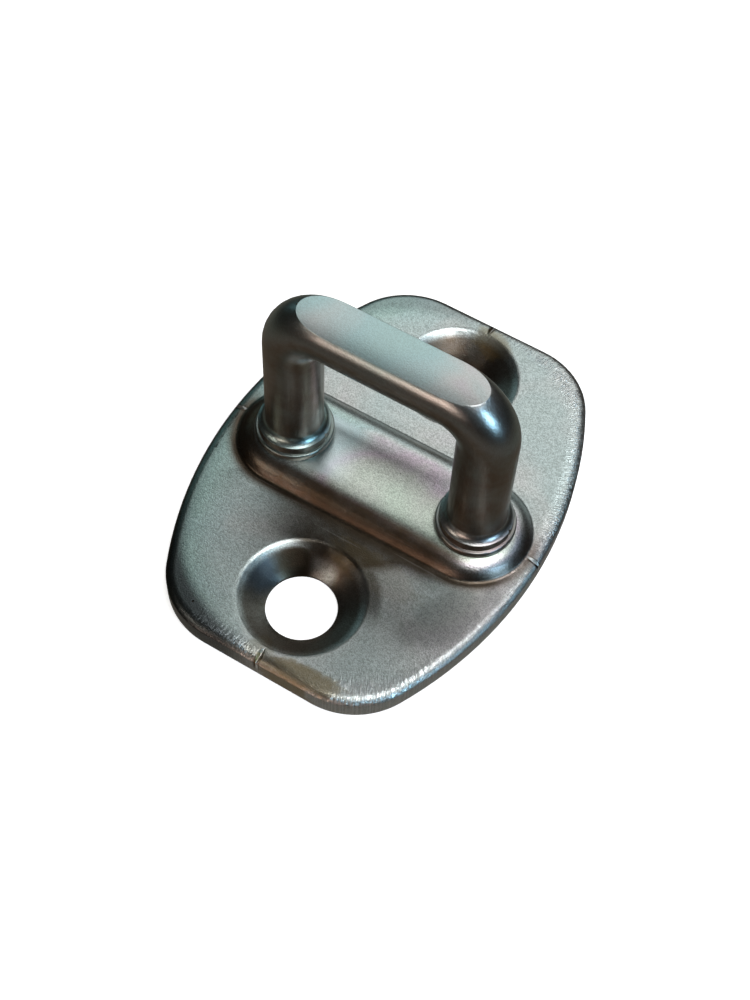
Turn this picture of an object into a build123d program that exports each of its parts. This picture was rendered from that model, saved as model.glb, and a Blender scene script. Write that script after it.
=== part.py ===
from build123d import *
import math
import os

# Vehicle door latch striker: a stamped, countersunk base plate with a round-rod
# striker loop riveted through it.
# Frame: origin on the plate's back face, midway between the screws and between the
# legs. +X runs from leg to leg, +Y along the line of the two screws, +Z up the loop.
# All sizes are in millimetres, and all angles in degrees.

# --- striker loop -----------------------------------------------------------------
leg_spacing = 28.4        # between the legs' axes
loop_height = 33.6        # from the plate's back to the flat on the bar
rod_radius = 4.0
inner_bend = 2.0          # radius inside each bend
flat_depth = 1.4          # pressed off the top of the bar
collar_step = 1.0         # from the leg out to the collar's crisp rim
collar_height = 2.2       # of that rim, above the pad
collar_flare = 1.5        # concave radius from the leg to the rim
ledge_step = 0.45         # from the rim out to the low ring round the collar's foot
ledge_height = 0.95
ledge_blend = 0.25
nick_depth = 0.25         # die parting nicks on the collars, in the loop's plane

# --- riveted tenons ---------------------------------------------------------------
tenon_step = 0.5          # from the leg in to the tenon
tenon_clearance = 0.05    # between the tenon and its hole
head_overlap = 1.7        # from the tenon out to the riveted head's edge
head_recess = 0.6         # the heads stay this far inside the back face
head_blend = 0.5

# --- screw holes, for M8 countersunk screws ---------------------------------------
hole_spacing = 41.6
hole_radius = 4.8
hole_break = 0.15         # chamfer on the back of the hole
sink_angle = 105.0        # full angle of the cone
sink_land = 0.55          # straight hole left below the cone
rim_roll = 1.3            # soft outer rim of the cone

# --- base plate -------------------------------------------------------------------
plate_thickness = 3.5
end_margin = 10.9         # from a hole's centre to the plate's end
side_margin = 1.6         # from the pad's end to the plate's side
side_radius = 57.0        # crown of the two long sides
corner_radius = 11.0
edge_roll = 1.7           # radius of the blanked top edge
edge_crease = 0.3         # how much of that radius the vertical shear wall cuts away
back_break = 0.25

# --- raised pad under the loop, and the pocket pressed up behind it ---------------
pad_rise = 2.0            # above the plate's top face
pad_flat_radius = 4.7     # half the width of the pad's flat top
pad_side_run = 3.9        # from the flat top out to the foot
pad_foot_blend = 0.8      # concave radius at the foot
pad_end_inset = 0.3       # the end arcs' centres stand this far inside the leg axes
web_thickness = 3.6       # metal left between the pad's top and the pocket
pocket_gap = 0.7          # round the riveted heads
pocket_draft = 15.0
pocket_floor_blend = 0.5
pocket_mouth_blend = 0.7

# --- index marks struck into the plate's edges on both centre lines ---------------
mark_half_width = 0.7     # at the plate's edge
mark_depth = 0.7
end_mark_length = 2.9     # inwards from the plate's end

# --- sizes and places that follow -------------------------------------------------
leg_x = leg_spacing / 2
hole_y = hole_spacing / 2
pad_top = plate_thickness + pad_rise
pad_foot_radius = pad_flat_radius + pad_side_run
pad_centre_x = leg_x - pad_end_inset
plate_length = hole_spacing + 2 * end_margin
plate_width = 2 * (pad_centre_x + pad_foot_radius + side_margin)
sink_radius = hole_radius + ((plate_thickness - sink_land)
                             * math.tan(math.radians(sink_angle / 2)))
rim_radius = rod_radius + collar_step
ledge_radius = rim_radius + ledge_step
tenon_radius = rod_radius - tenon_step
head_radius = tenon_radius + head_overlap
pocket_depth = pad_top - web_thickness
head_height = pocket_depth - head_recess
pocket_radius = (head_radius + pad_end_inset + pocket_gap
                 + pocket_depth * math.tan(math.radians(pocket_draft)))
bend_radius = rod_radius + inner_bend
bar_axis_z = loop_height - (rod_radius - flat_depth)
rim_z = pad_top + collar_height
ledge_z = pad_top + ledge_height
overcut = 1.0             # how far cutting shapes stand past the metal

# The pad's side is two tangent arcs, convex above and concave at the foot. Both turn
# through the same angle, which the side's run and rise set.
side_turn = 2 * math.degrees(math.atan2(pad_rise, pad_side_run))
pad_crown = pad_side_run / math.sin(math.radians(side_turn)) - pad_foot_blend

# The leg's flare is an arc that leaves the leg straight down and stops at the rim.
flare_turn = math.degrees(math.acos(1 - collar_step / collar_flare))
flare_drop = collar_flare * math.sin(math.radians(flare_turn))


def barrel(sketch, grow):
    # crowned sides, straight ends and round corners, offset outwards by grow
    Rectangle(plate_width + 2 * overcut, plate_length + 2 * grow)
    for side in (-1, 1):
        with Locations((side * (side_radius - plate_width / 2), 0)):
            Circle(side_radius + grow, mode=Mode.INTERSECT)
    fillet(sketch.vertices(), corner_radius + grow)


def pad_section():
    # half of the pad's section, from its axis out to its foot, and down into the plate
    crown = JernArc((pad_flat_radius, pad_top), (1, 0), pad_crown, -side_turn)
    foot = JernArc(crown @ 1, crown % 1, pad_foot_blend, side_turn)
    sunk = plate_thickness - overcut
    Polyline(foot @ 1, (pad_foot_radius, sunk), (0, sunk), (0, pad_top), crown @ 0)


def circles_of(part, radius):
    # the part's full or broken circles of one radius
    circles = part.edges().filter_by(GeomType.CIRCLE)
    return circles.filter_by(lambda edge: abs(edge.radius - radius) < 0.01)


# --- base_plate: one stamped steel blank ------------------------------------------
with BuildPart() as base_plate:
    # The top edge is rolled on a slightly larger blank, and the true outline then
    # shears it, which leaves a crease above the vertical wall.
    with BuildSketch() as blank:
        barrel(blank, edge_crease)
    extrude(amount=plate_thickness)
    fillet(base_plate.faces().sort_by(Axis.Z)[-1].edges(), edge_roll)
    with BuildSketch() as outline:
        barrel(outline, 0)
    extrude(amount=plate_thickness, mode=Mode.INTERSECT)
    fillet(base_plate.faces().sort_by(Axis.Z)[0].edges(), back_break)

    # raised pad: a straight ridge with a turned end round each leg
    with BuildSketch(Plane.YZ.offset(-pad_centre_x)):
        with BuildLine():
            pad_section()
        make_face()
        mirror(about=Plane.YZ)
    extrude(amount=2 * pad_centre_x)
    for end in (-1, 1):
        with BuildSketch(Plane.XZ.shift_origin((end * pad_centre_x, 0, 0))):
            with BuildLine():
                pad_section()
            make_face()
        revolve(axis=Axis((end * pad_centre_x, 0, 0), (0, 0, 1)))

    # pocket behind the pad, for the riveted heads
    with BuildSketch():
        SlotCenterToCenter(2 * pad_centre_x, 2 * pocket_radius)
    extrude(amount=pocket_depth, taper=pocket_draft, mode=Mode.SUBTRACT)
    pocket_floor = base_plate.faces().filter_by(Axis.Z).sort_by(Axis.Z)[1]
    fillet(pocket_floor.edges(), pocket_floor_blend)
    back_face = base_plate.faces().filter_by(Axis.Z).sort_by(Axis.Z)[0]
    fillet(back_face.inner_wires().edges(), pocket_mouth_blend)

    # tenon holes through the web of the pad
    with Locations(*[(end * leg_x, 0, pad_top) for end in (-1, 1)]):
        Hole(tenon_radius + tenon_clearance, depth=web_thickness + head_height)

    # countersunk screw holes, with a rolled rim and a broken back edge
    with Locations(*[(0, end * hole_y, plate_thickness) for end in (-1, 1)]):
        CounterSinkHole(hole_radius, sink_radius, plate_thickness, sink_angle)
    fillet(circles_of(base_plate, sink_radius).group_by(Axis.Z)[-1], rim_roll)
    chamfer(circles_of(base_plate, hole_radius).group_by(Axis.Z)[0], hole_break)

    # index marks: V grooves that rise to nothing inwards
    marks = [(Vector(0, 1, 0), plate_length / 2, end_mark_length),
             (Vector(1, 0, 0), plate_width / 2, side_margin)]
    for outward, reach, length in marks:
        for side in (-1, 1):
            out = outward * side
            with BuildSketch(Plane(out * reach, x_dir=(-out.Y, out.X, 0), z_dir=out)):
                with Locations((0, plate_thickness - mark_depth)):
                    Polygon((0, 0), (2 * mark_half_width, 2 * mark_depth),
                            (-2 * mark_half_width, 2 * mark_depth), align=None)
            run = Vector(0, 0, mark_depth) - out * length
            extrude(amount=run.length, dir=run, mode=Mode.SUBTRACT)
base_plate.part.label = "base_plate"

# --- striker_loop: one bent rod, upset into collars and riveted behind the plate --
with BuildPart() as striker_loop:
    with BuildLine(Plane.XZ):
        rod = FilletPolyline((-leg_x, pad_top), (-leg_x, bar_axis_z), (leg_x, bar_axis_z),
                             (leg_x, pad_top), radius=bend_radius)
    with BuildSketch(Plane(rod @ 0, z_dir=rod % 0)):
        Circle(rod_radius)
    sweep()
    with Locations((0, 0, loop_height)):
        Box(leg_spacing + 4 * rod_radius, 4 * rod_radius, 2 * flat_depth,
            align=(Align.CENTER, Align.CENTER, Align.MIN), mode=Mode.SUBTRACT)

    # collar, tenon and riveted head, turned round each leg's axis
    for end in (-1, 1):
        with BuildSketch(Plane.XZ.shift_origin((end * leg_x, 0, 0))):
            with BuildLine():
                flare = JernArc((rod_radius, rim_z + flare_drop), (0, -1), collar_flare,
                                flare_turn)
                Polyline(flare @ 1, (rim_radius, ledge_z), (ledge_radius, ledge_z),
                         (ledge_radius, pad_top), (tenon_radius, pad_top),
                         (tenon_radius, pocket_depth), (head_radius, pocket_depth),
                         (head_radius, head_recess), (0, head_recess),
                         (0, rim_z + flare_drop), flare @ 0)
            make_face()
        revolve(axis=Axis((end * leg_x, 0, 0), (0, 0, 1)))
    fillet(circles_of(striker_loop, ledge_radius).group_by(Axis.Z)[-1], ledge_blend)
    fillet(circles_of(striker_loop, head_radius).group_by(Axis.Z)[0], head_blend)

    # die parting nicks across each collar's rim
    with Locations(*[(end * leg_x + side * rim_radius, 0, ledge_z)
                     for end in (-1, 1) for side in (-1, 1)]):
        Box(nick_depth * math.sqrt(2), nick_depth * math.sqrt(2),
            collar_height - ledge_height + flare_drop, rotation=(0, 0, 45),
            align=(Align.CENTER, Align.CENTER, Align.MIN), mode=Mode.SUBTRACT)
striker_loop.part.label = "striker_loop"

os.makedirs("parts", exist_ok=True)
export_step(base_plate.part, "parts/base_plate.step")
export_step(striker_loop.part, "parts/striker_loop.step")
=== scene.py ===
import math
import bpy
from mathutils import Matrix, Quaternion, Vector


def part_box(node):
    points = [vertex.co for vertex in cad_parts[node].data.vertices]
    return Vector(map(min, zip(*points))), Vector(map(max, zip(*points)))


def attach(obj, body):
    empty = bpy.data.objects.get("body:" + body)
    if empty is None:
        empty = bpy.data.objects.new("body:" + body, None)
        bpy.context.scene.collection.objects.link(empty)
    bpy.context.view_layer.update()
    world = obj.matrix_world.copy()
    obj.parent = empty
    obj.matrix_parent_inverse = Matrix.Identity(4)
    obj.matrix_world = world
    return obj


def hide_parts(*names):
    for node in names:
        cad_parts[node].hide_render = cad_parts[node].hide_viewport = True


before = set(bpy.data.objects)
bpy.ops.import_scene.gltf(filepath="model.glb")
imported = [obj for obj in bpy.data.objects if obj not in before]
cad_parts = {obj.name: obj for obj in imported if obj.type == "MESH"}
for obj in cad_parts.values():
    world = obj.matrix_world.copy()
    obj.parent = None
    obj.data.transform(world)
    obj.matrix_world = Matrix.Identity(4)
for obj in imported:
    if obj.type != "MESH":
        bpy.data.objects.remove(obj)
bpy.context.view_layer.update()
bpy.ops.object.select_all(action="DESELECT")
mm = 0.001
print("frame loaded:", ", ".join(sorted(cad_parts)))


def feed(tree, socket, value):
    # a socket takes a plain value, or the socket that feeds it
    if isinstance(value, bpy.types.NodeSocket):
        tree.links.new(value, socket)
    elif socket.type == "RGBA":
        socket.default_value = (*value, 1)
    else:
        socket.default_value = value


def put(tree, kind, inputs=None, **settings):
    node = tree.nodes.new("ShaderNode" + kind)
    for name, value in settings.items():
        setattr(node, name, value)
    for name, value in (inputs or {}).items():
        feed(tree, node.inputs[name], value)
    return node


def calc(tree, operation, *values, clamp=False):
    node = put(tree, "Math", dict(enumerate(values)), operation=operation, use_clamp=clamp)
    return node.outputs[0]


def times(tree, total, *values):
    for value in values:
        total = calc(tree, "MULTIPLY", total, value)
    return total


def most(tree, total, *values):
    for value in values:
        total = calc(tree, "MAXIMUM", total, value)
    return total


def ease(tree, value, low, high, start=0.0, end=1.0):
    # start up to low, end past high, smooth between
    node = put(tree, "MapRange", {"Value": value, "From Min": low, "From Max": high,
                                  "To Min": start, "To Max": end},
               interpolation_type="SMOOTHSTEP")
    return node.outputs["Result"]


def tint(tree, share, under, over, way="MIX"):
    node = put(tree, "Mix", {"Factor": share, "A": under, "B": over}, data_type="RGBA", blend_type=way)
    return node.outputs["Result"]


def ramp(tree, value, stops):
    # stops: share along the ramp, then red, green and blue
    node = put(tree, "ValToRGB", {"Fac": value})
    elements = node.color_ramp.elements
    while len(elements) < len(stops):
        elements.new(0.5)
    for element, (place, *shade) in zip(elements, stops):
        element.position = place
        element.color = (*shade, 1)
    return node.outputs["Color"]


def newGroup(name, takes, gives):
    # takes and gives: socket name and kind, and for an input its usual value
    tree = bpy.data.node_groups.new(name, "ShaderNodeTree")
    for socketName, kind, value in takes:
        socket = tree.interface.new_socket(socketName, in_out="INPUT", socket_type="NodeSocket" + kind)
        if value is not None:
            socket.default_value = value
    for socketName, kind in gives:
        tree.interface.new_socket(socketName, in_out="OUTPUT", socket_type="NodeSocket" + kind)
    return tree, tree.nodes.new("NodeGroupInput").outputs, tree.nodes.new("NodeGroupOutput").inputs


def useGroup(tree, name, inputs):
    return put(tree, "Group", inputs, node_tree=bpy.data.node_groups[name]).outputs


cameraSet = {
    "azimuth": 28.07,       # degrees round from the front
    "elevation": 58.67,
    "roll": 3.43,
    "distance": 0.2193,
    "aim": (0.0004, -0.0028, 0.0030),
    "lens": 58.25,
    "sensor": 36,
    "nearest": 0.01,        # the part is small, so the near clip is too
}


def addCamera():
    turn, lift = math.radians(cameraSet["azimuth"]), math.radians(cameraSet["elevation"])
    back = Vector((math.sin(turn) * math.cos(lift), -math.cos(turn) * math.cos(lift), math.sin(lift)))
    bpy.ops.object.camera_add(location=Vector(cameraSet["aim"]) + back * cameraSet["distance"])
    camera = bpy.context.object
    camera.name = "viewCamera"
    camera.rotation_mode = "QUATERNION"
    rolled = Quaternion((0, 0, 1), math.radians(cameraSet["roll"]))
    camera.rotation_quaternion = back.to_track_quat("Z", "Y") @ rolled
    camera.data.lens = cameraSet["lens"]
    camera.data.sensor_width = cameraSet["sensor"]
    camera.data.clip_start = cameraSet["nearest"]
    bpy.context.scene.camera = camera


# each softbox: direction from the part, how far off, width, height, radiance and tint
softboxes = {
    "windowLight": {"toward": (0.60, 0.40, 0.70), "far": 0.6, "size": (0.26, 0.10),
                    "radiance": 1.3, "tint": (0.46, 0.74, 1.0)},
    "skyLight": {"toward": (-0.12, 0.73, 0.67), "far": 0.7, "size": (0.80, 0.60),
                 "radiance": 1.10, "tint": (1.0, 1.0, 0.98)},
    "backLight": {"toward": (-0.80, 0.52, 0.30), "far": 0.7, "size": (0.50, 0.24),
                  "radiance": 0.30, "tint": (0.62, 0.97, 1.0)},
    "topLight": {"toward": (0.32, -0.08, 0.94), "far": 0.6, "size": (0.38, 0.29),
                 "radiance": 6.0, "tint": (1.0, 1.0, 1.0)},
    "warmLight": {"toward": (-0.14, -0.95, 0.24), "far": 0.6, "size": (0.26, 0.12),
                  "radiance": 3.8, "tint": (1.0, 0.70, 0.58)},
    "leftLight": {"toward": (-0.46, -0.67, 0.58), "far": 0.6, "size": (0.11, 0.10),
                  "radiance": 7.0, "tint": (1.0, 0.84, 0.72)},
    "coolLight": {"toward": (0.86, -0.24, 0.43), "far": 0.6, "size": (0.13, 0.22),
                  "radiance": 10.0, "tint": (0.46, 0.77, 1.0)},
}


def addSoftbox(name, box):
    toward = Vector(box["toward"]).normalized()
    bpy.ops.object.light_add(type="AREA", location=toward * box["far"])
    light = bpy.context.object
    light.name = name
    light.data.shape = "RECTANGLE"
    light.data.size, light.data.size_y = box["size"]
    light.data.color = box["tint"]
    light.data.energy = box["radiance"] * math.pi * box["size"][0] * box["size"][1]
    light.rotation_mode = "QUATERNION"
    light.rotation_quaternion = toward.to_track_quat("Z", "Y")


roomSet = {
    # what the metal mirrors: how far up, from straight down to overhead, and the shade there
    "mirrored": [(0.22, 0.150, 0.130, 0.105), (0.42, 0.016, 0.012, 0.009),
                 (0.85, 0.020, 0.018, 0.017)],
    "backdrop": (0.80, 0.80, 0.79),     # what the camera itself sees past the floor
}


def addRoom():
    world = bpy.data.worlds.new("room")
    bpy.context.scene.world = world
    world.use_nodes = True
    tree = world.node_tree
    split = put(tree, "SeparateXYZ", {0: put(tree, "TexCoord").outputs["Generated"]})
    raised = put(tree, "MapRange", {"Value": split.outputs["Z"], "From Min": -1.0})
    mirrored = ramp(tree, raised.outputs["Result"], roomSet["mirrored"])
    fromCamera = put(tree, "LightPath").outputs["Is Camera Ray"]
    shade = tint(tree, fromCamera, mirrored, roomSet["backdrop"])
    tree.links.new(shade, tree.nodes["Background"].inputs["Color"])


floorSet = {
    "size": 3.0,
    "drop": 0.05 * mm,          # keeps it clear of the plate's flat back
    "color": (0.86, 0.865, 0.86),
    "glow": 0.80,
    "roughness": 0.7,
}


def addFloor():
    bpy.ops.mesh.primitive_plane_add(size=floorSet["size"], location=(0, 0, -floorSet["drop"]))
    floor = bpy.context.object
    floor.name = "floor"
    floor.visible_glossy = False        # the metal mirrors the room, not the paper it lies on
    paper = bpy.data.materials.new("palePaper")
    paper.use_nodes = True
    tree = paper.node_tree
    shader = tree.nodes["Principled BSDF"]
    for name, value in (("Base Color", floorSet["color"]), ("Roughness", floorSet["roughness"]),
                        ("Emission Color", floorSet["color"]), ("Emission Strength", floorSet["glow"])):
        feed(tree, shader.inputs[name], value)
    # clear from underneath, so that the back of the plate can be looked at
    behind = put(tree, "NewGeometry").outputs["Backfacing"]
    clear = put(tree, "BsdfTransparent").outputs[0]
    either = put(tree, "MixShader", {0: behind, 1: shader.outputs[0], 2: clear})
    tree.links.new(either.outputs[0], tree.nodes["Material Output"].inputs["Surface"])
    floor.data.materials.append(paper)


addCamera()
for boxName, boxValues in softboxes.items():
    addSoftbox(boxName, boxValues)
addRoom()
addFloor()
bpy.context.scene.view_settings.view_transform = "Standard"
print("camera, floor and", len(softboxes), "softboxes placed")


grainSet = {
    "layers": {"fine": (5800, 2.0), "coarse": (3000, 2.0), "patch": (300, 3.0)},   # per metre, detail
    "fineShare": 0.65,
    "speckle": (0.36, 0.62),
    "patches": (0.35, 0.65),
}


def makeGrain():
    # the pebbled skin of barrel-plated steel
    tree, given, out = newGroup("blastedGrain", [("Vector", "Vector", None)],
                                [("Height", "Float"), ("Speckle", "Float"), ("Patch", "Float")])
    layers = {}
    for layer, (scale, detail) in grainSet["layers"].items():
        noise = put(tree, "TexNoise", {"Vector": given["Vector"], "Scale": scale,
                                       "Detail": detail, "Roughness": 0.6})
        layers[layer] = noise.outputs["Fac"]
    height = calc(tree, "ADD", times(tree, layers["fine"], grainSet["fineShare"]),
                  times(tree, layers["coarse"], 1 - grainSet["fineShare"]))
    tree.links.new(height, out["Height"])
    tree.links.new(ease(tree, height, *grainSet["speckle"]), out["Speckle"])
    tree.links.new(ease(tree, layers["patch"], *grainSet["patches"]), out["Patch"])


filmSet = {
    "scale": 75,           # per metre, size of the colour clouds
    "drift": 0.9,          # how far the clouds move the hue
    "hues": [(0.00, 0.68, 0.93, 0.91), (0.25, 0.70, 0.95, 1.00), (0.42, 0.95, 0.97, 1.00),
             (0.60, 1.00, 0.78, 0.96), (0.75, 0.96, 0.95, 0.90), (1.00, 0.88, 1.00, 0.87)],
}


def makeFilm():
    # the faint rainbow of a clear chromate on zinc
    tree, given, out = newGroup("chromateFilm", [("Vector", "Vector", None), ("Color", "Color", None),
                                                 ("Shift", "Float", 0.5), ("Amount", "Float", 1.0)],
                                [("Color", "Color")])
    clouds = put(tree, "TexNoise", {"Vector": given["Vector"], "Scale": filmSet["scale"],
                                    "Detail": 2.0, "Roughness": 0.45, "Distortion": 0.6})
    drift = times(tree, calc(tree, "SUBTRACT", clouds.outputs["Fac"], 0.5), filmSet["drift"])
    hue = ramp(tree, calc(tree, "ADD", given["Shift"], drift, clamp=True), filmSet["hues"])
    tree.links.new(tint(tree, given["Amount"], given["Color"], hue, "MULTIPLY"), out["Color"])


tarnishShadeSet = {
    "brown": (0.120, 0.084, 0.055),
    "steep": (0.45, 0.95),         # how upright a face is, from none to full tarnish and painted shade
    "clouds": 260,
    "uneven": (0.25, 0.75, 0.82, 1.0),
}


def makeTarnishShade():
    # brown bloom on the upright faces, which the tumbling media polish least; partly real tarnish, partly
    # painted shade standing in for the dark room that these faces mirror
    tree, given, out = newGroup("tarnishAndShade", [("Vector", "Vector", None), ("Normal", "Vector", None),
                                                 ("Color", "Color", None), ("Extra", "Float", 0.0),
                                                 ("Amount", "Float", 0.5)],
                                [("Color", "Color"), ("Mask", "Float")])
    split = put(tree, "SeparateXYZ", {0: given["Normal"]})
    upright = calc(tree, "SUBTRACT", 1.0, calc(tree, "ABSOLUTE", split.outputs["Z"]))
    steep = times(tree, ease(tree, upright, *tarnishShadeSet["steep"]), given["Amount"])
    clouds = put(tree, "TexNoise", {"Vector": given["Vector"], "Scale": tarnishShadeSet["clouds"],
                                    "Detail": 4.0, "Roughness": 0.6})
    uneven = ease(tree, clouds.outputs["Fac"], *tarnishShadeSet["uneven"])
    mask = calc(tree, "MULTIPLY", calc(tree, "ADD", steep, given["Extra"], clamp=True), uneven, clamp=True)
    tree.links.new(tint(tree, mask, given["Color"], tarnishShadeSet["brown"]), out["Color"])
    tree.links.new(mask, out["Mask"])


pitSet = {
    "scale": 520,
    "whole": 0.965,                # share of the cells with no pinhole
    "radius": 0.11,                # as a share of a cell
}


def makePits():
    # lone pinholes in the plating
    tree, given, out = newGroup("platingPits", [("Vector", "Vector", None), ("Scale", "Float", 1.0)],
                                [("Mask", "Float")])
    sized = put(tree, "VectorMath", {0: given["Vector"], "Scale": given["Scale"]}, operation="SCALE")
    cells = put(tree, "TexVoronoi", {"Vector": sized.outputs[0], "Scale": pitSet["scale"]})
    draw = put(tree, "SeparateColor", {0: cells.outputs["Color"]})
    chosen = calc(tree, "GREATER_THAN", draw.outputs[0], pitSet["whole"])
    near = ease(tree, cells.outputs["Distance"], pitSet["radius"] * 0.5, pitSet["radius"], 1.0, 0.0)
    tree.links.new(calc(tree, "MULTIPLY", chosen, near), out["Mask"])


scratchSet = {
    "across": 2600,
    "along": 60,
    "turns": (25, -38, 74),        # degrees
    "lines": (0.70, 0.76),
    "gapScale": 0.05,
    "gaps": (0.50, 0.62),
}


def makeScratches():
    # short hairlines in three directions, each broken up by a slower noise
    tree, given, out = newGroup("hairScratches", [("Vector", "Vector", None)], [("Mask", "Float")])
    total = 0.0
    for turn in scratchSet["turns"]:
        laid = put(tree, "Mapping", {"Vector": given["Vector"], "Rotation": (0, 0, math.radians(turn)),
                                     "Scale": (scratchSet["along"], scratchSet["across"],
                                               scratchSet["across"])}).outputs[0]
        lines = put(tree, "TexNoise", {"Vector": laid, "Scale": 1.0, "Detail": 1.0})
        gaps = put(tree, "TexNoise", {"Vector": laid, "Scale": scratchSet["gapScale"], "Detail": 2.0})
        line = times(tree, ease(tree, lines.outputs["Fac"], *scratchSet["lines"]),
                     ease(tree, gaps.outputs["Fac"], *scratchSet["gaps"]))
        total = most(tree, total, line)
    tree.links.new(total, out["Mask"])


for maker in (makeGrain, makeFilm, makeTarnishShade, makePits, makeScratches):
    maker()
print("shared effects made:", len(bpy.data.node_groups), "node groups")


def startMaterial(name, roughness):
    material = bpy.data.materials.new(name)
    material.use_nodes = True
    tree = material.node_tree
    shader = tree.nodes["Principled BSDF"]
    shader.inputs["Metallic"].default_value = 1.0
    shader.inputs["Roughness"].default_value = roughness
    return material, tree, shader, put(tree, "TexCoord").outputs


def span(tree, across, along):
    # length of a flat vector
    return calc(tree, "SQRT", calc(tree, "ADD", times(tree, across, across), times(tree, along, along)))


def zone(tree, ruler, fades):
    # where a mark lies: the product of its fades, each over one of the ruler's distances
    return times(tree, *(ease(tree, ruler[distance], *limits) for distance, *limits in fades))


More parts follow.
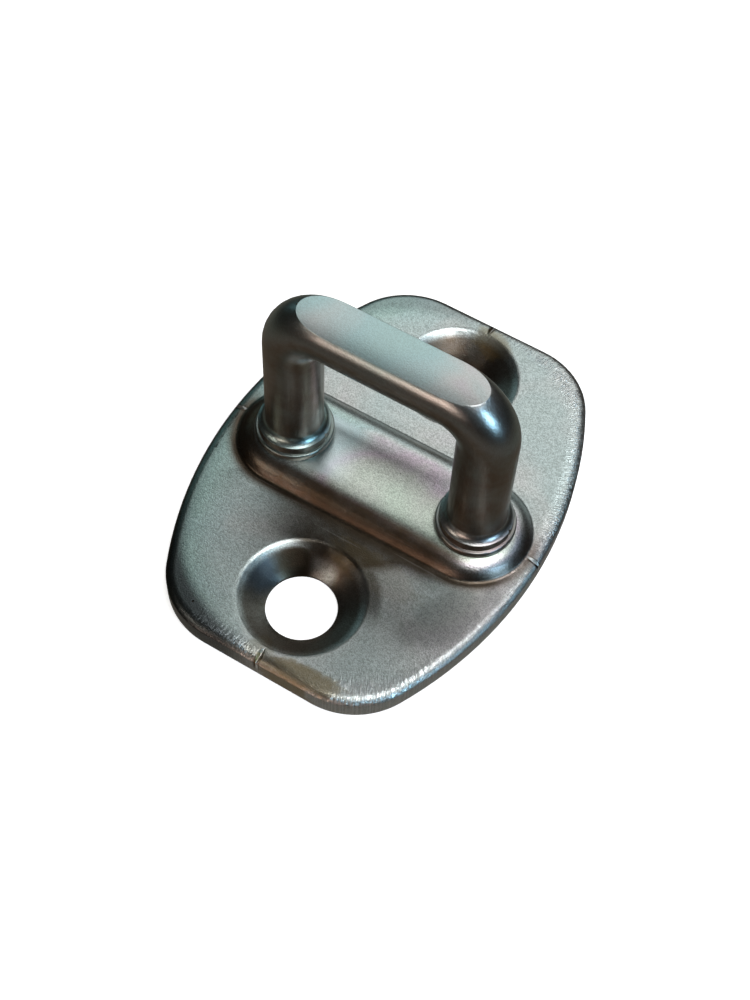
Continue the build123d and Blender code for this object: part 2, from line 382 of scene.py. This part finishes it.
# lengths are in millimetres; a fade has a distance from plateRuler, where it starts and ends,
# and the share before and after
plateFinish = {
    "zinc": (0.65, 0.68, 0.665),
    "dull": (0.37, 0.395, 0.38),          # the darker specks of the mottling
    "clear": (0.74, 0.90, 0.95),          # painted highlight: the bright cyan laid beside the left-hand collar
    "wearAndHighlight": (0.74, 0.76, 0.75),           # burnished edges, and painted highlight on the nicks' flanks and towards the right-hand side
    "stain": (0.215, 0.160, 0.066),
    # painted shade: the dark brown laid beside the pad, in the near sink and in the nicks' cuts
    "shadeBrown": (0.050, 0.038, 0.026),
    # painted shade on the left rolled edge, and the colour of the smudge
    "shadeAndSmudgeGrey": (0.060, 0.066, 0.070),
    # painted reflection: the dark blue laid on the near sink's left wall
    "blue": (0.050, 0.105, 0.160),
    "pit": (0.03, 0.025, 0.02),
    "scratched": 0.06,
    "tarnishShade": 0.45,

    "roughness": 0.285,
    "patchy": (-0.005, 0.01),             # drift of the roughness from patch to patch
    "wornShine": -0.005,
    "stainDullness": 0.07,
    "cutMetallic": (0.1, 0.5, 1.0, 0.80),     # the sheared edge, from clean to tarnished
    "bump": 0.045 * mm,
    "pitDepth": -1.5,
    "scratchDepth": -0.10,
    "streakHeight": 1.1,
    "edge": {"width": 0.06 * mm, "angle": 35},

    "sideRadius": 57.0,
    "cornerRadius": 11.0,
    "padCentre": 13.9,
    "padFoot": 8.6,
    "holeCentre": 20.8,
    "sink": 8.6,
    # lines that a mark follows: measured from what, and how far out from it
    "lines": {"rim": ("hole", -0.1), "ring": ("hole", 0.8), "foot": ("pad", -0.1)},
    "leeReach": (2.5, 10.0, 6.0, 1.8),    # painted shade past the pad's foot, less towards the right
    # the nicks: painted shade in the cut, painted highlight on one flank
    "nick": {"height": (0.8, 2.0), "length": (1.2, 2.1, 1.0, 0.0), "cut": (0.22, 0.62, 1.0, 0.0),
             "litFlank": (0.10, 0.24, 1.0, 0.0), "flankOff": 0.12},

    # the film runs through its colours across the pad: straw, pink along the middle, then blue
    "hue": 0.34,                          # away from the pad
    "padHues": [("y", -2.4, 4.0, 0.95, 0.62), ("y", 4.4, 6.8, 0.0, -0.36),
                ("x", -9.5, -2.5, -0.52, 0.0)],
    "onPad": [("pad", -3.6, -1.4, 1.0, 0.0)],
    "tealward": [("outline", 0.5, 8.0, 1.0, 0.0), ("x", -16.0, -3.0, 1.0, 0.0)],
    "filmed": (0.42, 0.75),               # away from the pad, and on it
    "tealFilmed": 0.58,

    # drag marks across the rolled edge, as the punch leaves them
    "streaks": {"radius": 27.0, "fine": 4.5, "drawn": 0.45, "contrast": (0.42, 0.66),
                "zone": [("outline", 0.4, 3.2, 1.0, 0.0), ("x", -14.0, 3.0, 0.12, 1.0)]},
    "streaksUnderStain": (0.0, 0.7, 1.0, 0.1),
    "wornByStreaks": (0.0, 1.0, 0.20, 0.80),

    # water marks: centre, half length, half width, turn in degrees, strength
    "stains": [((6.2, -30.4), 6.5, 1.7, 8, 0.95), ((6.5, -12.6), 7.0, 2.6, -6, 0.22),
               ((1.2, 28.9), 3.0, 2.0, -10, 0.75), ((-0.6, -29.6), 1.8, 2.0, 0, 0.45)],
    "smudges": [((17.5, -13.5), 7.0, 3.0, 60, 0.40)],
    "water": {"scale": 420, "ragged": 1.3, "body": (0.60, 1.25), "depth": 0.80,
              "tide": (0.70, 0.92, 1.08), "tideDepth": 0.15},
    # spots in the near sink: centre, size, shares inside and outside; a lighter spot where a lamp's
    # reflection falls, painted shade on the upper wall, and a painted blue reflection on the left wall
    "spots": {"litSpot": ((-0.3, -15.2), 2.8, 0.12, 1.0), "sinkShade": ((-4.0, -16.2), 4.6, 1.0, 0.0),
              "blueReflection": ((-6.8, -20.0), 4.2, 0.5, 0.0)},
    "spotCore": 0.3,
    "smear": {"scale": 330, "fade": (0.25, 0.6, 0.88, 1.0)},
    "upper": (-0.5, -0.05),               # slant of a face that takes no wear, and one that takes it all
    "zones": {
        # painted highlight: the film is lightened to a bright cyan beside the left-hand collar
        "sheenByCollar": [("x", -9.5, -2.5, 0.75, 0.0), ("pad", -4.8, -3.6, 1.0, 0.0)],
        "roll": [("outline", 0.2, 2.2, 1.0, 0.0)],
        "rim": [("rim", 0.1, 0.8, 1.0, 0.0)],
        # edge wear, partly painted highlight: weak on the left, full towards the right-hand side, where the
        # light falls
        "brighterRightward": [("x", -12.0, 4.0, 0.25, 1.0)],
        # darkening on the pad's slope, less at its right-hand end, and down the sinks: partly tarnish,
        # partly painted shade
        "slope": [("pad", -3.7, -2.5, 0.0, 1.0), ("pad", 0.0, 1.6, 1.0, 0.0),
                  ("y", 1.0, 5.0, 1.0, 0.12)],
        # painted highlight on the pad's right-hand crown, painted shade on its outer slope
        "litCrown": [("x", 12.0, 18.5, 0.0, 1.0), ("pad", -2.0, -0.9, 0.90, 0.15)],
        "cone": [("hole", -1.3, -0.3, 0.94, 0.0), ("y", -25.0, -19.0, 0.72, 1.0),
                 ("x", 2.0, 6.0, 1.0, 0.80)],
        # painted shade on the near sink's upper wall
        "sinkShade": [("hole", -1.0, -0.2, 1.0, 0.0)],
        # painted reflection, dark blue, on the near sink's left wall
        "blueReflection": [("hole", -1.2, -0.4, 1.0, 0.0)],
        # painted shade: darkening in the lee of the pad, where its dark slope is mirrored, hugging the near
        # sink, and lining the pad's foot
        "lee": [("lee", -1.5, 1.5, 0.96, 0.0), ("y", -8.5, -5.0, 1.0, 0.0),
                ("x", -12.0, -4.0, 0.0, 1.0), ("x", 11.0, 16.0, 1.0, 0.0)],
        "ring": [("ring", 0.3, 1.7, 0.7, 0.0), ("y", -8.5, -5.0, 1.0, 0.0),
                 ("x", 1.0, 4.5, 0.0, 1.0), ("y", -21.0, -16.5, 0.0, 1.0)],
        "footShade": [("foot", 0.15, 0.75, 0.85, 0.0), ("y", -6.5, -3.0, 1.0, 0.0)],
        # painted shade: the rolled edge on the left is darkened, most at the near corner
        "turned": [("outline", 0.4, 3.0, 0.92, 0.0), ("x", -6.0, 1.0, 1.0, 0.0),
                   ("y", -24.0, -10.0, 1.0, 0.45)],
        "sheared": [("outline", 0.3, 0.7, 1.0, 0.0)],
    },
}


def plateRuler(tree, place):
    # millimetres: inwards from the outline, outwards from the pad's foot and the sinks' rims
    finish = plateFinish
    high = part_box("base_plate")[1]
    halfWidth, halfLength = high.x / mm, high.y / mm
    split = put(tree, "SeparateXYZ", {0: place})
    x, y, z = (times(tree, split.outputs[axis], 1 / mm) for axis in "XYZ")
    sizeX, sizeY = calc(tree, "ABSOLUTE", x), calc(tree, "ABSOLUTE", y)
    beyond = calc(tree, "ADD", sizeX, finish["sideRadius"] - halfWidth)
    side = calc(tree, "SUBTRACT", finish["sideRadius"], span(tree, beyond, y))
    end = calc(tree, "SUBTRACT", halfLength, sizeY)
    corner = finish["cornerRadius"]
    cut = [calc(tree, "MAXIMUM", calc(tree, "SUBTRACT", corner, edge), 0.0) for edge in (side, end)]
    overhang = calc(tree, "MAXIMUM", calc(tree, "SUBTRACT", sizeX, finish["padCentre"]), 0.0)
    toHole = calc(tree, "SUBTRACT", sizeY, finish["holeCentre"])
    ruler = {"x": x, "y": y, "z": z, "side": side, "end": end,
             "outline": calc(tree, "SUBTRACT", corner, span(tree, *cut)),
             "pad": calc(tree, "SUBTRACT", span(tree, overhang, y), finish["padFoot"]),
             "hole": calc(tree, "SUBTRACT", span(tree, x, toHole), finish["sink"])}
    for name, (start, out) in finish["lines"].items():
        ruler[name] = calc(tree, "ABSOLUTE", calc(tree, "SUBTRACT", ruler[start], out))
    ruler["lee"] = calc(tree, "SUBTRACT", ruler["pad"], ease(tree, x, *finish["leeReach"]))
    return ruler


def nickMasks(tree, ruler):
    # the four nicks that mark the middle of each side: painted shade in the cut, and a painted highlight on
    # one flank
    nick = plateFinish["nick"]
    raised = ease(tree, ruler["z"], *nick["height"])
    cuts, flanks = [], []
    for off, edge in ((ruler["y"], ruler["side"]), (ruler["x"], ruler["end"])):
        inward = times(tree, ease(tree, edge, *nick["length"]), raised)
        width = calc(tree, "ABSOLUTE", off)
        beside = calc(tree, "ABSOLUTE", calc(tree, "SUBTRACT", off, nick["flankOff"]))
        cuts.append(times(tree, ease(tree, width, *nick["cut"]), inward))
        flanks.append(times(tree, ease(tree, beside, *nick["litFlank"]), inward))
    return most(tree, *cuts), most(tree, *flanks)


def stainMask(tree, place, marks):
    # water marks, each darkest at its own tide line
    water = plateFinish["water"]
    wobble = put(tree, "TexNoise", {"Vector": place, "Scale": water["scale"], "Detail": 4.0,
                                    "Roughness": 0.6})
    uneven = times(tree, calc(tree, "SUBTRACT", wobble.outputs["Fac"], 0.5), water["ragged"])
    rising, line, falling = water["tide"]
    total = 0.0
    for (centreX, centreY), halfLong, halfWide, turn, strength in marks:
        laid = put(tree, "Mapping", {"Vector": place, "Location": (centreX * mm, centreY * mm, 0),
                                     "Rotation": (0, 0, math.radians(turn)),
                                     "Scale": (halfLong * mm, halfWide * mm, 1)},
                   vector_type="TEXTURE")
        flat = put(tree, "SeparateXYZ", {0: laid.outputs[0]})
        reach = calc(tree, "ADD", span(tree, flat.outputs["X"], flat.outputs["Y"]), uneven)
        body = ease(tree, reach, *water["body"], water["depth"] * strength, 0.0)
        tide = times(tree, ease(tree, reach, rising, line, 0.0, water["tideDepth"] * strength),
                     ease(tree, reach, line, falling, 1.0, 0.0))
        total = most(tree, total, calc(tree, "ADD", body, tide))
    return total


def spotMask(tree, ruler, centre, size, inside, outside):
    off = [calc(tree, "SUBTRACT", ruler[axis], value) for axis, value in zip("xy", centre)]
    return ease(tree, span(tree, *off), plateFinish["spotCore"] * size, size, inside, outside)


def wearMasks(tree, place, ruler):
    # every mark's mask by its name, the painted shade of all kinds as one
    finish = plateFinish
    mask = {name: zone(tree, ruler, fades) for name, fades in finish["zones"].items()}
    spots = {name: spotMask(tree, ruler, *spot) for name, spot in finish["spots"].items()}
    mask["cut"], mask["litFlank"] = nickMasks(tree, ruler)
    # partly tarnish, partly painted shade on the pad's slope and down the sinks
    slope = times(tree, mask["slope"], calc(tree, "SUBTRACT", 1.0, mask["litCrown"]))
    mask["dark"] = most(tree, slope, times(tree, mask["cone"], spots["litSpot"]))
    smear = put(tree, "TexNoise", {"Vector": place, "Scale": finish["smear"]["scale"], "Detail": 5.0,
                                   "Roughness": 0.6})
    # painted shade in the lee of the pad, by the near sink and along the pad's foot, broken up by a smear
    # noise
    lee = times(tree, most(tree, mask["lee"], mask["ring"], mask["footShade"]),
                ease(tree, smear.outputs["Fac"], *finish["smear"]["fade"]))
    mask["paintedShade"] = most(tree, lee, times(tree, mask["sinkShade"], spots["sinkShade"]), mask["cut"])
    # painted blue reflection in the near sink
    mask["blueReflection"] = times(tree, mask["blueReflection"], spots["blueReflection"])
    mask["stain"] = stainMask(tree, place, finish["stains"])
    mask["smudge"] = stainMask(tree, place, finish["smudges"])
    return mask


def padFilm(tree, place, ruler, metal):
    finish = plateFinish
    onPad = zone(tree, ruler, finish["onPad"])
    tealward = zone(tree, ruler, finish["tealward"])      # blue-green near the left-hand edge
    across = 0.0
    for distance, *limits in finish["padHues"]:
        across = calc(tree, "ADD", across, ease(tree, ruler[distance], *limits))
    shifted = times(tree, calc(tree, "SUBTRACT", across, finish["hue"]), onPad)
    plain = calc(tree, "SUBTRACT", finish["hue"], times(tree, tealward, finish["hue"]))
    amount = calc(tree, "ADD", ease(tree, onPad, 0.0, 1.0, *finish["filmed"]),
                  times(tree, tealward, finish["tealFilmed"]))
    return useGroup(tree, "chromateFilm", {"Vector": place, "Color": metal, "Amount": amount,
                                           "Shift": calc(tree, "ADD", shifted, plain)})["Color"]


def edgeStreaks(tree, ruler):
    streaks = plateFinish["streaks"]
    around = times(tree, calc(tree, "ARCTAN2", ruler["y"], ruler["x"]), streaks["radius"])
    laid = put(tree, "CombineXYZ", {"X": times(tree, around, streaks["fine"]),
                                    "Y": times(tree, ruler["outline"], streaks["drawn"])})
    lines = put(tree, "TexNoise", {"Vector": laid.outputs[0], "Scale": 1.0, "Detail": 3.0,
                                   "Roughness": 0.65})
    return times(tree, ease(tree, lines.outputs["Fac"], *streaks["contrast"]),
                 zone(tree, ruler, streaks["zone"]))


def plateZinc():
    finish = plateFinish
    material, tree, shader, where = startMaterial("plateZinc", finish["roughness"])
    place = where["Object"]
    ruler = plateRuler(tree, place)
    grain = useGroup(tree, "blastedGrain", {"Vector": place})
    pits = useGroup(tree, "platingPits", {"Vector": place})["Mask"]
    scratches = useGroup(tree, "hairScratches", {"Vector": place})["Mask"]
    mask = wearMasks(tree, place, ruler)
    facing = put(tree, "SeparateXYZ", {0: where["Normal"]}).outputs["Z"]
    upper = ease(tree, facing, *finish["upper"])
    for name in ("stain", "paintedShade", "smudge", "blueReflection", "turned", "dark"):
        mask[name] = times(tree, mask[name], upper)
    streaks = times(tree, edgeStreaks(tree, ruler), ease(tree, mask["stain"], *finish["streaksUnderStain"]))
    # wear on the rolled edges and sink rims, partly painted highlight
    wearAndHighlight = times(tree, most(tree, mask["roll"], mask["rim"]), ease(tree, streaks, *finish["wornByStreaks"]),
                 mask["brighterRightward"], upper)

    metal = tint(tree, grain["Speckle"], finish["dull"], finish["zinc"])
    metal = padFilm(tree, place, ruler, metal)
    # painted highlight beside the left-hand collar
    metal = tint(tree, mask["sheenByCollar"], metal, finish["clear"])
    metal = tint(tree, wearAndHighlight, metal, finish["wearAndHighlight"])
    # tarnish on the upright faces, partly real, partly painted shade
    tarnishShade = useGroup(tree, "tarnishAndShade", {"Vector": place, "Normal": where["Normal"], "Color": metal,
                                              "Extra": mask["dark"], "Amount": finish["tarnishShade"]})
    metal = tarnishShade["Color"]
    # painted shade, painted reflection and painted highlight are laid here together with the smudge,
    # stains, scratches and pits
    for share, over in ((mask["turned"], "shadeAndSmudgeGrey"), (mask["blueReflection"], "blue"), (mask["smudge"], "shadeAndSmudgeGrey"),
                        (mask["paintedShade"], "shadeBrown"), (mask["litFlank"], "wearAndHighlight"), (mask["stain"], "stain"),
                        (times(tree, scratches, finish["scratched"]), "wearAndHighlight"), (pits, "pit")):
        metal = tint(tree, share, metal, finish[over])
    tree.links.new(metal, shader.inputs["Base Color"])

    smoothest, roughest = (finish["roughness"] + drift for drift in finish["patchy"])
    rough = ease(tree, grain["Patch"], 0.0, 1.0, smoothest, roughest)
    for share, change in ((wearAndHighlight, "wornShine"), (mask["stain"], "stainDullness")):
        rough = calc(tree, "ADD", rough, times(tree, share, finish[change]))
    tree.links.new(rough, shader.inputs["Roughness"])
    sheared = times(tree, mask["sheared"], tarnishShade["Mask"])
    tree.links.new(ease(tree, sheared, *finish["cutMetallic"]), shader.inputs["Metallic"])
    height = grain["Height"]
    for share, change in ((pits, "pitDepth"), (scratches, "scratchDepth"), (streaks, "streakHeight")):
        height = calc(tree, "ADD", height, times(tree, share, finish[change]))
    bump = put(tree, "Bump", {"Height": height, "Distance": finish["bump"]})
    tree.links.new(bump.outputs["Normal"], shader.inputs["Normal"])
    return material


rodFinish = {
    "zinc": (0.56, 0.575, 0.56),
    "dull": (0.47, 0.47, 0.45),
    "pit": plateFinish["pit"],
    "pitScale": 1.3,
    "hue": 0.30,                          # along the film's colours
    "roughness": 0.278,
    "bump": 0.032 * mm,
    "collar": (7.2 * mm, 8.6 * mm, 0.55, 0.0),    # heights up the collar, and how much darker the rod is below them
    "metallic": (0.1, 1.0, 1.0, 0.9),     # from clean to tarnished
    "edge": {"width": 0.08 * mm, "angle": 30},
}


def rodZinc():
    finish = rodFinish
    material, tree, shader, where = startMaterial("rodZinc", finish["roughness"])
    place = where["Object"]
    grain = useGroup(tree, "blastedGrain", {"Vector": place})
    pits = useGroup(tree, "platingPits", {"Vector": place, "Scale": finish["pitScale"]})["Mask"]
    metal = tint(tree, grain["Speckle"], finish["dull"], finish["zinc"])
    metal = useGroup(tree, "chromateFilm", {"Vector": place, "Color": metal, "Shift": finish["hue"],
                                            "Amount": 1.0})["Color"]
    height = put(tree, "SeparateXYZ", {0: place}).outputs["Z"]
    collar = ease(tree, height, *finish["collar"])
    # the rod's tarnish, partly real, partly painted shade darkening the legs and the collars
    tarnishShade = useGroup(tree, "tarnishAndShade", {"Vector": place, "Normal": where["Normal"],
                                              "Color": metal, "Extra": collar, "Amount": 1.0})
    metal = tint(tree, pits, tarnishShade["Color"], finish["pit"])
    tree.links.new(metal, shader.inputs["Base Color"])
    tree.links.new(ease(tree, tarnishShade["Mask"], *finish["metallic"]), shader.inputs["Metallic"])
    bump = put(tree, "Bump", {"Height": calc(tree, "SUBTRACT", grain["Height"], pits),
                              "Distance": finish["bump"]})
    tree.links.new(bump.outputs["Normal"], shader.inputs["Normal"])
    return material


copySet = {
    "merge": 0.002 * mm,
    "bevelSegments": 2,
    "smoothAngle": 32,
}


def refinedCopy(node, name, material, edge):
    # the CAD mesh, merged, with its hard edges broken by a fine bevel
    piece = bpy.data.objects.new(name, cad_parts[node].data.copy())
    bpy.context.scene.collection.objects.link(piece)
    bpy.ops.object.select_all(action="DESELECT")
    piece.select_set(True)
    bpy.context.view_layer.objects.active = piece
    bpy.ops.object.mode_set(mode="EDIT")
    bpy.ops.mesh.select_all(action="SELECT")
    bpy.ops.mesh.remove_doubles(threshold=copySet["merge"])
    bpy.ops.mesh.select_all(action="DESELECT")
    bpy.ops.object.mode_set(mode="OBJECT")
    bevel = piece.modifiers.new("brokenEdges", "BEVEL")
    bevel.width = edge["width"]
    bevel.segments = copySet["bevelSegments"]
    bevel.limit_method = "ANGLE"
    bevel.angle_limit = math.radians(edge["angle"])
    bpy.ops.object.modifier_apply(modifier=bevel.name)
    bpy.ops.object.shade_smooth_by_angle(angle=math.radians(copySet["smoothAngle"]))
    piece.data.materials.clear()
    piece.data.materials.append(material)
    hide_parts(node)
    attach(piece, "root")
    return piece


plate = refinedCopy("base_plate", "stampedPlate", plateZinc(), plateFinish["edge"])
loop = refinedCopy("striker_loop", "strikerRod", rodZinc(), rodFinish["edge"])
for piece in (plate, loop):
    print(piece.name, "has", len(piece.data.polygons), "faces")
